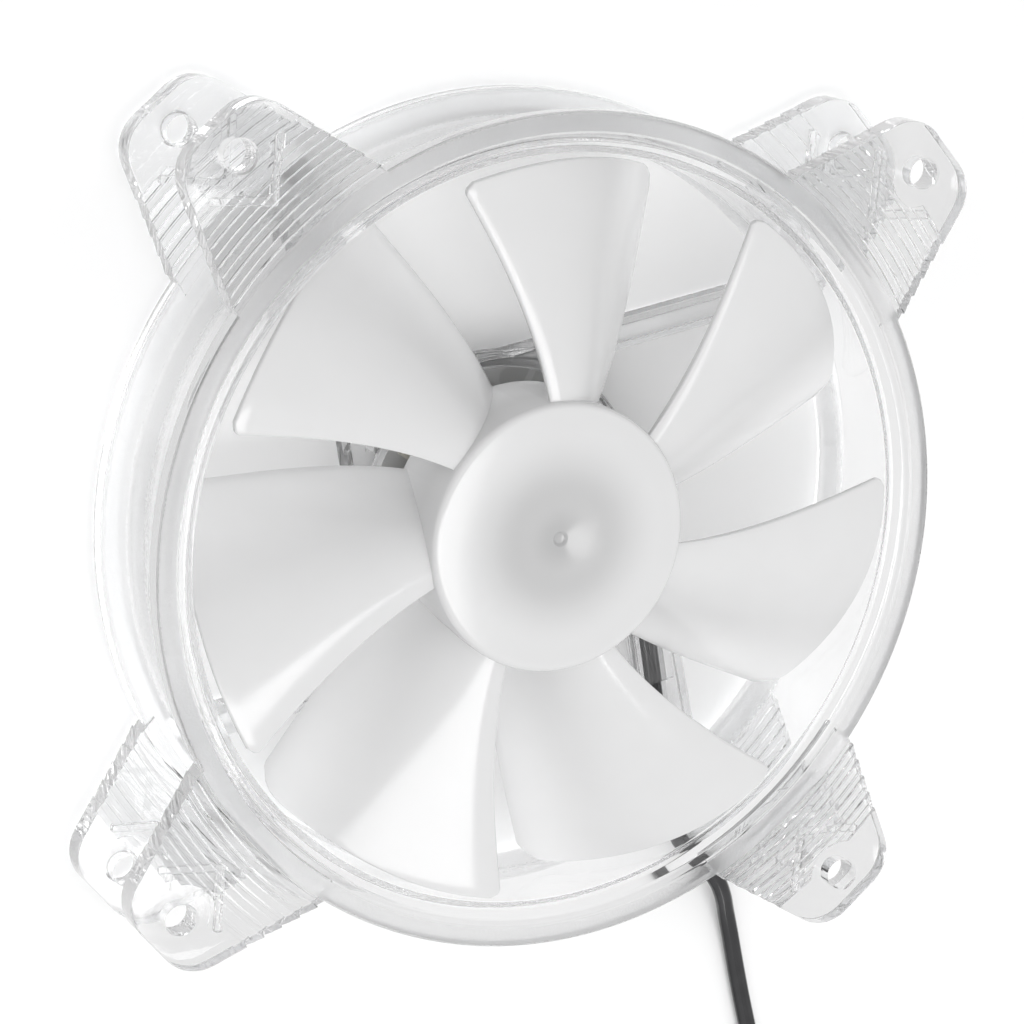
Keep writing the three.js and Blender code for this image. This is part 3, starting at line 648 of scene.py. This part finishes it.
def twin_section(points_per_lobe=11):
    """The lead's section, (sideways, up): two round jackets moulded side by side."""
    radius = LEAD_THICKNESS / 2
    centre = (LEAD_WIDTH - LEAD_THICKNESS) / 2
    reach = math.radians(148)
    section = []
    for side in (1, -1):
        for k in range(points_per_lobe):
            angle = -reach + 2 * reach * k / (points_per_lobe - 1)
            section.append((side * (centre + radius * math.cos(angle)), side * radius * math.sin(angle)))
    return section


def lead_tube(name, path):
    """The twin lead along a path, its two cores side by side and level."""
    section = twin_section()
    size = len(section)
    points, faces = [], []
    for i, centre in enumerate(path):
        ahead = path[min(i + 1, len(path) - 1)] - path[max(i - 1, 0)]
        ahead.normalize()
        side = ahead.cross(Vector((0, 0, 1))).normalized()
        up = side.cross(ahead)
        points += [centre + side * x + up * y for x, y in section]
    for i in range(len(path) - 1):
        for k in range(size):
            m = (k + 1) % size
            faces.append([i * size + k, i * size + m, (i + 1) * size + m, (i + 1) * size + k])
    faces.append(list(range(size)))
    faces.append([(len(path) - 1) * size + k for k in range(size)])
    return finish_object(name, mesh_from(name, points, faces), JACKET, 60)


def on_lead_strut(distance, offset=LEAD_OFFSET):
    """A point of the lead's groove: distance along its strut, offset from the fan's axis."""
    along = math.radians(LEAD_STRUT_ANGLE)
    return Vector((
        -offset * math.sin(along) + distance * math.cos(along),
        offset * math.cos(along) + distance * math.sin(along),
        LEAD_HEIGHT,
    ))


COIL_CENTRE = Vector((41.6, -109.3, 0))
COIL_HEIGHT = 1.0
COIL_START_RADIUS = 19.4
COIL_PITCH = 2.9
COIL_TURNS = 2.62
COIL_START_ANGLE = 18.66
CONNECTOR_TURN = 120
CONNECTOR_BEND_RADIUS = 5.8

FREE_LEAD_ROUTE = [
    on_lead_strut(LEAD_WALL_DISTANCE),
    on_lead_strut(LEAD_WALL_DISTANCE + 3),
    (36.4, -53.6, 5),
    (38.8, -55.6, 5),
    (41.3, -57.5, 4.95),
    (43.6, -60, 4.5),
    (45.6, -63, 3.4),
    (47.3, -66.3, 2),
    (48.7, -69.6, 1.3),
    (49.9, -73, 0.96),
    (51.2, -77, 0.84),
    (52.5, -81, 0.82),
    (53.8, -84.8, 0.82),
    (55.1, -88.6, 0.84),
    (56.36, -92.38, 0.9),
]


def coil_path():
    """From the ring's first turn to the mouth of the connector that lies inside the ring."""
    path = []
    turn_steps, bend_steps = round(40 * COIL_TURNS), 12
    for k in range(turn_steps + 1):
        share = k / turn_steps
        angle = math.radians(COIL_START_ANGLE - 360 * COIL_TURNS * share)
        radius = COIL_START_RADIUS - COIL_PITCH * COIL_TURNS * share
        path.append(COIL_CENTRE + Vector((radius * math.cos(angle), radius * math.sin(angle), COIL_HEIGHT)))
    end_angle = math.radians(COIL_START_ANGLE - 360 * COIL_TURNS)
    end_radius = COIL_START_RADIUS - COIL_PITCH * COIL_TURNS
    outward = Vector((math.cos(end_angle), math.sin(end_angle), 0))
    bend_centre = COIL_CENTRE + outward * (end_radius - CONNECTOR_BEND_RADIUS)
    for k in range(1, bend_steps + 1):
        angle = end_angle - math.radians(CONNECTOR_TURN * k / bend_steps)
        lift = COIL_HEIGHT + 0.3 * k / bend_steps
        path.append(bend_centre + Vector((
            CONNECTOR_BEND_RADIUS * math.cos(angle), CONNECTOR_BEND_RADIUS * math.sin(angle), lift,
        )))
    return path


free_path = smooth_path(FREE_LEAD_ROUTE, 1.0)
straight_start, straight_end = free_path[-1], coil_path()[0]
straight = [straight_start.lerp(straight_end, k / 8) for k in range(1, 8)]
lead_path = free_path + straight + coil_path()
lead = lead_tube("twin_lead", lead_path)
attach(lead, ROOT_BODY)
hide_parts("lead", "lead_coil")

inner_route = [
    on_lead_strut(1.5, 15.4),
    on_lead_strut(4.5, 16.2),
    on_lead_strut(8, 18.4),
    on_lead_strut(11, 20),
    on_lead_strut(14),
    on_lead_strut(30),
    on_lead_strut(LEAD_WALL_DISTANCE - 0.3),
]
inner_lead = lead_tube("twin_lead_inside", smooth_path(inner_route, 1.0))
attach(inner_lead, ROOT_BODY)
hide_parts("inner_lead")


def coil_tie():
    """A thin band round the coil's turns, with rounded corners."""
    low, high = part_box("coil_tie")
    low, high = low / MM, high / MM
    width = high.x - low.x
    skin = 0.22
    outer = rounded([(low.y, low.z, 0.5), (high.y, low.z, 0.5),
                     (high.y, high.z, 0.5), (low.y, high.z, 0.5)])
    inner = rounded([(low.y + skin, low.z + skin, 0.3), (high.y - skin, low.z + skin, 0.3),
                     (high.y - skin, high.z - skin, 0.3), (low.y + skin, high.z - skin, 0.3)])
    band = placed(prism("coil_tie_band", outer, low.x, low.x + width), ALONG_X)
    eye = placed(prism("eye", inner, low.x - 1, low.x + width + 1), ALONG_X)
    return finish_object("coil_tie_band", combined(band, [eye], "DIFFERENCE"), BLACK)


tie = coil_tie()
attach(tie, ROOT_BODY)
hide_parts("coil_tie")


# ------------------------------------------------------------------ frame


def duct():
    """The wall and its two flanges, as one section turned about the axis."""
    rear = FLANGE_THICKNESS
    front = FAN_DEPTH - FLANGE_THICKNESS
    return revolved("duct", rounded([
        (BORE_RADIUS, REAR_BEVEL, 0.4), (BORE_RADIUS + REAR_BEVEL, 0, 0.25),
        (FLANGE_RADIUS, 0, FLANGE_FACE_EDGE), (FLANGE_RADIUS, rear, FLANGE_BACK_EDGE),
        (WALL_OUTER_RADIUS, rear, 0.6), (WALL_OUTER_RADIUS, front, 0.6),
        (FLANGE_RADIUS, front, FLANGE_BACK_EDGE), (FLANGE_RADIUS, FAN_DEPTH, FLANGE_FACE_EDGE),
        (BAND_INNER_RADIUS, FAN_DEPTH, 0.15), (BAND_INNER_RADIUS - 0.3, FAN_DEPTH - BAND_STEP_DEPTH, 0.1),
        (BORE_RADIUS + FRONT_BEVEL, FAN_DEPTH - BAND_STEP_DEPTH, 0.3),
        (BORE_RADIUS, FAN_DEPTH - FRONT_BEVEL_DEPTH, 0.5),
    ], 3), 240)


def lug_half_width(along):
    """Half the lug's width at a distance from the fan's axis: it tapers evenly outwards."""
    return LUG_REFERENCE_HALF_WIDTH - (along - LUG_REFERENCE_ALONG) * math.tan(LUG_TAPER)


def lug_side(radius, inset=0.0):
    """The point of a lug's side that lies at a radius from the fan's axis."""
    along = radius
    for _ in range(8):
        across = lug_half_width(along) - inset
        along = math.sqrt(radius * radius - across * across)
    return along, across


def lug_outline():
    """A lug pointing along +X: it narrows in steps from the flange out to its round tip."""
    side = []
    for i in range(STEP_COUNT):
        start = STEP_FIRST_RADIUS + i * STEP_PITCH
        if i > 0:
            side.append((*lug_side(start), 0.1))
        side.append((*lug_side(start + STEP_PITCH, STEP_SIDE_DEPTH), 0.1))
    side.append((*lug_side(STEP_FIRST_RADIUS + STEP_COUNT * STEP_PITCH), 0.1))
    tip = (LUG_TIP_ALONG, lug_half_width(LUG_TIP_ALONG), LUG_CORNER_RADIUS)
    outline = [(x, -y, r) for x, y, r in side] + [(tip[0], -tip[1], tip[2]), tip] + side[::-1]
    outline = rounded(outline, 8)
    root_angle = math.asin(lug_half_width(STEP_FIRST_RADIUS) / LUG_ROOT_RADIUS)
    root = [root_angle * (1 - k / 8) for k in range(17)]
    outline += [(LUG_ROOT_RADIUS * math.cos(a), LUG_ROOT_RADIUS * math.sin(a)) for a in root]
    return outline


def step_ring(start, end, face, inward, depth):
    """What is cut from a lug's face between two radii: a channel that deepens outwards to its step."""
    start = max(start, FLANGE_RADIUS + 0.02)
    end = max(end, start + 0.3)
    return revolved("ring", [(start, face - inward), (start, face + inward * depth * STEP_START_SHARE),
                             (end, face + inward * depth), (end, face - inward)], 240)


def stepped(lug, outer_face, inner_face):
    """Cuts the round steps of both faces into a lug pointing along +X, but for a pad round its hole."""
    rings = []
    inward = 1 if inner_face > outer_face else -1
    for i in range(STEP_COUNT):
        start = STEP_FIRST_RADIUS + i * STEP_PITCH
        middle = start + STEP_PITCH / 2
        end = start + STEP_PITCH
        inner_end = end + STEP_PITCH / 2
        rings.append(step_ring(start + STEP_CREST_WIDTH, middle, outer_face, inward, HALF_STEP_DEPTH))
        rings.append(step_ring(middle + STEP_CREST_WIDTH, end, outer_face, inward, STEP_DEPTH))
        rings.append(step_ring(middle + STEP_CREST_WIDTH, inner_end, inner_face, -inward, INNER_STEP_DEPTH))
    low, high = -2, FAN_DEPTH + 2
    pad = revolved("pad", [(0, low), (HOLE_PAD_RADIUS, low), (HOLE_PAD_RADIUS, high), (0, high)], 48)
    pad.transform(Matrix.Translation((HOLE_ALONG * MM, 0, 0)))
    for ring in rings:
        lug = combined(lug, [combined(ring, [pad.copy()], "DIFFERENCE")], "DIFFERENCE")
    return lug


def lug_rib(bottom):
    """A low L-shaped rib on a lug's inner face, rooted in the lug, drawn for the +X +Y diagonal."""
    corner, end, inner = RIB_CORNER, RIB_CORNER + RIB_LENGTH, RIB_CORNER + RIB_WIDTH
    outline = rounded([
        (corner, corner, 0.3), (end, corner, 0.2), (end, inner, 0.2),
        (inner, inner, 0.3), (inner, end, 0.2), (corner, end, 0.2),
    ], 3)
    return prism("rib", outline, bottom, bottom + (RIB_HEIGHT + RIB_ROOT), 0.15)


def bar(start, end, inner, outer, low, high, edge=0.35):
    """A straight bar along +X with rounded long edges, between two offsets in Y."""
    outline = rounded([(inner, low, edge), (outer, low, edge), (outer, high, edge), (inner, high, edge)], 3)
    return placed(prism("bar", outline, start, end), ALONG_X)


def lead_strut_parts():
    """The wider strut that carries the lead, and the bridge that holds the lead down, along +X."""
    plate = prism("lead_strut", [
        (0, 17.2), (56, 17.2), (56, 26.6), (9, 24.4), (0, 21),
    ], 0, STRUT_HEIGHT, 0.3)
    start, end, half_width, edge = 24, 33.5, 2.8, 0.3
    inner, outer = LEAD_OFFSET - half_width, LEAD_OFFSET + half_width
    bridge = bar(start, end, inner, outer, STRUT_HEIGHT - edge, STRUT_HEIGHT + 1, edge)
    return [plate, bridge]


def lead_groove():
    """What is cut for the lead: a groove along its strut and a notch in the cup's rim."""
    low, top, half_width = 4, BASE_RIM_HEIGHT + 0.05, 1.8
    inner, outer = LEAD_OFFSET - half_width, LEAD_OFFSET + half_width
    outline = rounded([(inner, low, 0.3), (outer, low, 0.3), (outer, top, 0), (inner, top, 0)], 3)
    groove = placed(prism("groove", outline, 3, 60), ALONG_X)
    side = outer - 0.05
    notch = prism("notch", [(3.1, 14.2), (14, 14.2), (14, side), (3.1, side)], low + 0.02, top - 0.01)
    return [groove, notch]


def spokes():
    """The four struts, kept between the motor's cup and the duct's wall."""
    strut = bar(0, 56, STRUT_OFFSET - STRUT_WIDTH / 2, STRUT_OFFSET + STRUT_WIDTH / 2, 0, STRUT_HEIGHT)
    parts = [placed(strut, turn_about_z(STRUT_ANGLE + turn)) for turn in (0, 90, 180)]
    parts += [placed(part, turn_about_z(LEAD_STRUT_ANGLE)) for part in lead_strut_parts()]
    limit = revolved("limit", [
        (0, -1), (BORE_RADIUS + 3.8, -1), (BORE_RADIUS + 3.8, FLANGE_THICKNESS - 0.3),
        (WALL_OUTER_RADIUS - 0.4, FLANGE_THICKNESS - 0.3), (WALL_OUTER_RADIUS - 0.4, 12), (0, 12),
    ], 240)
    cup = revolved("cup", [(0, -1), (BASE_RIM_INNER + 0.4, -1), (BASE_RIM_INNER + 0.4, 12), (0, 12)], 96)
    trimmed = []
    for part in parts:
        kept = combined(part, [limit.copy()], "INTERSECT")
        trimmed.append(combined(kept, [cup.copy()], "DIFFERENCE"))
    return trimmed


def motor_cup():
    """The motor's base: a shallow cup with the label's recess behind and the bearing's tube in front."""
    return revolved("motor_cup", rounded([
        (0, LABEL_RECESS_DEPTH, 0), (LABEL_RECESS_RADIUS, LABEL_RECESS_DEPTH, 0.1),
        (LABEL_RECESS_RADIUS, 0, 0.1), (BASE_RADIUS, 0, 0.4), (BASE_RADIUS, BASE_RIM_HEIGHT, 0.4),
        (BASE_RIM_INNER, BASE_RIM_HEIGHT, 0.3), (BASE_RIM_INNER, BASE_PLATE_TOP, 0.4),
        (TUBE_OUTER_RADIUS, BASE_PLATE_TOP, 0.4), (TUBE_OUTER_RADIUS, TUBE_TOP, 0.2),
        (TUBE_INNER_RADIUS, TUBE_TOP, 0.2), (TUBE_INNER_RADIUS, BASE_PLATE_TOP, 0), (0, BASE_PLATE_TOP, 0),
    ], 3), 96)


def clear_frame():
    """The whole moulding: duct, lugs with ribs and holes, struts, motor cup and the lead's groove."""
    outline = lug_outline()
    front = FAN_DEPTH - LUG_THICKNESS
    lugs = [
        stepped(prism("lug", outline, 0, LUG_THICKNESS, 0.2), 0, LUG_THICKNESS),
        stepped(prism("lug", outline, front, FAN_DEPTH, 0.2), FAN_DEPTH, front),
    ]
    hole = revolved("hole", [
        (0, -1), (HOLE_RADIUS + 0.25, -1), (HOLE_RADIUS + 0.25, 0), (HOLE_RADIUS, 0.25),
        (HOLE_RADIUS, FAN_DEPTH - 0.25), (HOLE_RADIUS + 0.25, FAN_DEPTH),
        (HOLE_RADIUS + 0.25, FAN_DEPTH + 1), (0, FAN_DEPTH + 1),
    ], 48)
    hole.transform(Matrix.Translation((HOLE_ALONG * MM, 0, 0)))
    ribs = [lug_rib(LUG_THICKNESS - RIB_ROOT), lug_rib(FAN_DEPTH - LUG_THICKNESS - RIB_HEIGHT)]
    added = spokes() + [motor_cup()]
    removed = [placed(part, turn_about_z(LEAD_STRUT_ANGLE)) for part in lead_groove()]
    for quarter in range(4):
        diagonal = turn_about_z(45 + 90 * quarter)
        added += [placed(lug, diagonal) for lug in lugs]
        added += [placed(rib, turn_about_z(90 * quarter)) for rib in ribs]
        removed.append(placed(hole, diagonal))
    whole = combined(duct(), added, "UNION")
    whole = combined(whole, removed, "DIFFERENCE")
    whole.name = "clear_frame"
    return finish_object("clear_frame", whole, CLEAR, 34)


clear = clear_frame()
weighted_normals(clear)
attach(clear, ROOT_BODY)
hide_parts("frame")


# ------------------------------------------------------------------ impeller


def corner_drop(distance, radius):
    """How far a round corner draws the blade's tip in, at a distance from the blade's edge."""
    inside = max(0.0, radius - distance)
    return radius - math.sqrt(radius * radius - inside * inside)


def blade_point(span, chord):
    """The blade's middle surface: span 0 at the hub to 1 at the tip, chord 0 at the leading edge
    to 1 at the trailing edge. Both edges sweep, in degrees about the axis, and rise or fall, in mm."""
    leading = -5.1 + 17.6 * span - 3.8 * span * span
    trailing = -45.5 + 20 * span - 6.2 * span * span
    angle = math.radians(leading + (trailing - leading) * chord)
    front = 22.5 + 1.3 * span
    rear = 10.6 - span
    height = front + (rear - front) * chord + BLADE_CAMBER * 4 * chord * (1 - chord)
    drop = (corner_drop(chord * BLADE_CHORD_LENGTH, LEADING_CORNER_RADIUS)
            + corner_drop((1 - chord) * BLADE_CHORD_LENGTH, TRAILING_CORNER_RADIUS))
    radius = BLADE_ROOT_RADIUS + (BLADE_TIP_RADIUS - drop - BLADE_ROOT_RADIUS) * span
    return Vector((radius * math.cos(angle), radius * math.sin(angle), height))


def blade_normal(span, chord):
    """The direction straight out of the blade's middle surface."""
    step = 0.01
    along_span = blade_point(span + step, chord) - blade_point(span - step, chord)
    along_chord = blade_point(span, min(1, chord + step)) - blade_point(span, max(0, chord - step))
    return along_chord.cross(along_span).normalized()


def edge_steps(middle, edge_size, edge_count, both=True):
    """Shares from 0 to 1, close together at the rounded edges and even between them."""
    near = [edge_size * (1 - math.cos(math.pi / 2 * k / edge_count)) for k in range(edge_count)]
    start = near if both else [0.0]
    low = edge_size if both else 1 / middle
    even = [low + (1 - edge_size - low) * k / middle for k in range(middle + 1)]
    return start + even + [1 - s for s in reversed(near)]


def roundness(distance, size):
    """1 in the blade's middle, falling on a quarter circle to 0 at its edge."""
    share = min(1.0, max(0.0, distance / size))
    return math.sqrt(max(0.0, 1 - (1 - share) ** 2))


def blade_mesh():
    """One blade: two sheets joined round the edge by a flat rim half as thick as the blade."""
    spans = edge_steps(22, BLADE_EDGE_SHARE, 4, both=False)
    chords = edge_steps(34, BLADE_EDGE_SHARE, 4)
    points, faces = [], []
    columns = len(chords)
    for side in (1, -1):
        for span in spans:
            thickness = BLADE_ROOT_THICKNESS - BLADE_THINNING * span
            for chord in chords:
                edge = min(roundness(share, BLADE_EDGE_SHARE) for share in (chord, 1 - chord, 1 - span))
                offset = side * thickness / 2 * (0.5 + 0.5 * edge)
                points.append(blade_point(span, chord) + blade_normal(span, chord) * offset)
    sheet = len(spans) * columns
    for row in range(len(spans) - 1):
        for column in range(columns - 1):
            a = row * columns + column
            faces.append([a, a + 1, a + 1 + columns, a + columns])
            faces.append([sheet + a, sheet + a + columns, sheet + a + 1 + columns, sheet + a + 1])
    rim = list(range(columns))
    rim += [r * columns + columns - 1 for r in range(1, len(spans))]
    rim += [(len(spans) - 1) * columns + c for c in range(columns - 2, -1, -1)]
    rim += [r * columns for r in range(len(spans) - 2, 0, -1)]
    for i, a in enumerate(rim):
        b = rim[(i + 1) % len(rim)]
        faces.append([a, b, sheet + b, sheet + a])
    return mesh_from("blade", points, faces)


def hub_mesh():
    """The hub's cup, open at the rear, with the small dimple of its moulding gate in front."""
    roof = HUB_TOP - HUB_ROOF_THICKNESS
    dimple = HUB_TOP - GATE_DIMPLE_DEPTH
    return revolved("hub", rounded([
        (0, roof, 0), (HUB_INNER_RADIUS, roof, 0.5), (HUB_INNER_RADIUS, HUB_BOTTOM, 0.3),
        (HUB_RADIUS, HUB_BOTTOM, 0.4), (HUB_RADIUS, HUB_TOP, 1.0), (GATE_DIMPLE_RADIUS, HUB_TOP, 0.2),
        (GATE_DIMPLE_FLOOR_RADIUS, dimple, 0.2), (0, dimple, 0),
    ], 6), 180)


def milky_impeller():
    """The hub and its blades, one moulding."""
    blade = blade_mesh()
    blades = [placed(blade, turn_about_z(360 / BLADE_COUNT * k)) for k in range(BLADE_COUNT)]
    whole = combined(hub_mesh(), blades, "UNION")
    return finish_object("milky_impeller", whole, MILKY, 40)


impeller = milky_impeller()
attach(impeller, ROTOR_BODY)
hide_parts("impeller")


# ------------------------------------------------------------------ floor and light


def floor_material():
    """Plain matt near-white."""
    n = Nodes("floor")
    n.feed(n.colours(n.noise(3, 2.0), [(0.3, (0.89, 0.89, 0.89)), (0.7, (0.91, 0.91, 0.91))]), "Base Color")
    n.feed(n.spread(n.noise(8), 0.6, 0.7), "Roughness")
    n.set(Specular_IOR_Level=0.2)
    return n.material


def make_floor():
    """A wide floor just under the fan, in metres."""
    bm = bmesh.new()
    size, low = 4.0, -0.0003
    corners = ((-size, -size), (size, -size), (size, size), (-size, size))
    bm.faces.new([bm.verts.new((x, y, low)) for x, y in corners])
    mesh = bpy.data.meshes.new("floor")
    bm.to_mesh(mesh)
    bm.free()
    mesh.materials.append(floor_material())
    made = bpy.data.objects.new("floor", mesh)
    bpy.context.scene.collection.objects.link(made)


def area_light(name, place, aim, width, height, power):
    """A soft rectangular lamp at a place, aimed at a point, in metres and watts."""
    data = bpy.data.lights.new(name, "AREA")
    data.shape = "RECTANGLE"
    data.size, data.size_y, data.energy = width, height, power
    lamp = bpy.data.objects.new(name, data)
    lamp.location = place
    lamp.rotation_mode = "QUATERNION"
    lamp.rotation_quaternion = (Vector(aim) - Vector(place)).to_track_quat("-Z", "Y")
    bpy.context.scene.collection.objects.link(lamp)


def make_world():
    """A pale studio: bright overhead, greyer towards the horizon."""
    world = bpy.data.worlds.new("studio")
    world.use_nodes = True
    tree = world.node_tree
    place = tree.nodes.new("ShaderNodeTexCoord")
    split = tree.nodes.new("ShaderNodeSeparateXYZ")
    ramp = tree.nodes.new("ShaderNodeValToRGB")
    tree.links.new(place.outputs["Generated"], split.inputs[0])
    tree.links.new(split.outputs["Z"], ramp.inputs["Fac"])
    ramp.color_ramp.elements[0].position = 0.0
    ramp.color_ramp.elements[0].color = (0.60, 0.60, 0.605, 1)
    ramp.color_ramp.elements[1].position = 0.6
    ramp.color_ramp.elements[1].color = (0.80, 0.80, 0.80, 1)
    background = tree.nodes["Background"]
    background.inputs["Strength"].default_value = 1.0
    tree.links.new(ramp.outputs["Color"], background.inputs["Color"])
    bpy.context.scene.world = world


make_floor()
make_world()
area_light("strip", (-0.11, -0.24, 0.9), (-0.11, -0.24, 0), 0.92, 0.29, 4.3)

scene = bpy.context.scene
scene.view_settings.view_transform = "Standard"
scene.cycles.max_bounces = 24
scene.cycles.glossy_bounces = 24
scene.cycles.transmission_bounces = 24
scene.cycles.transparent_max_bounces = 24
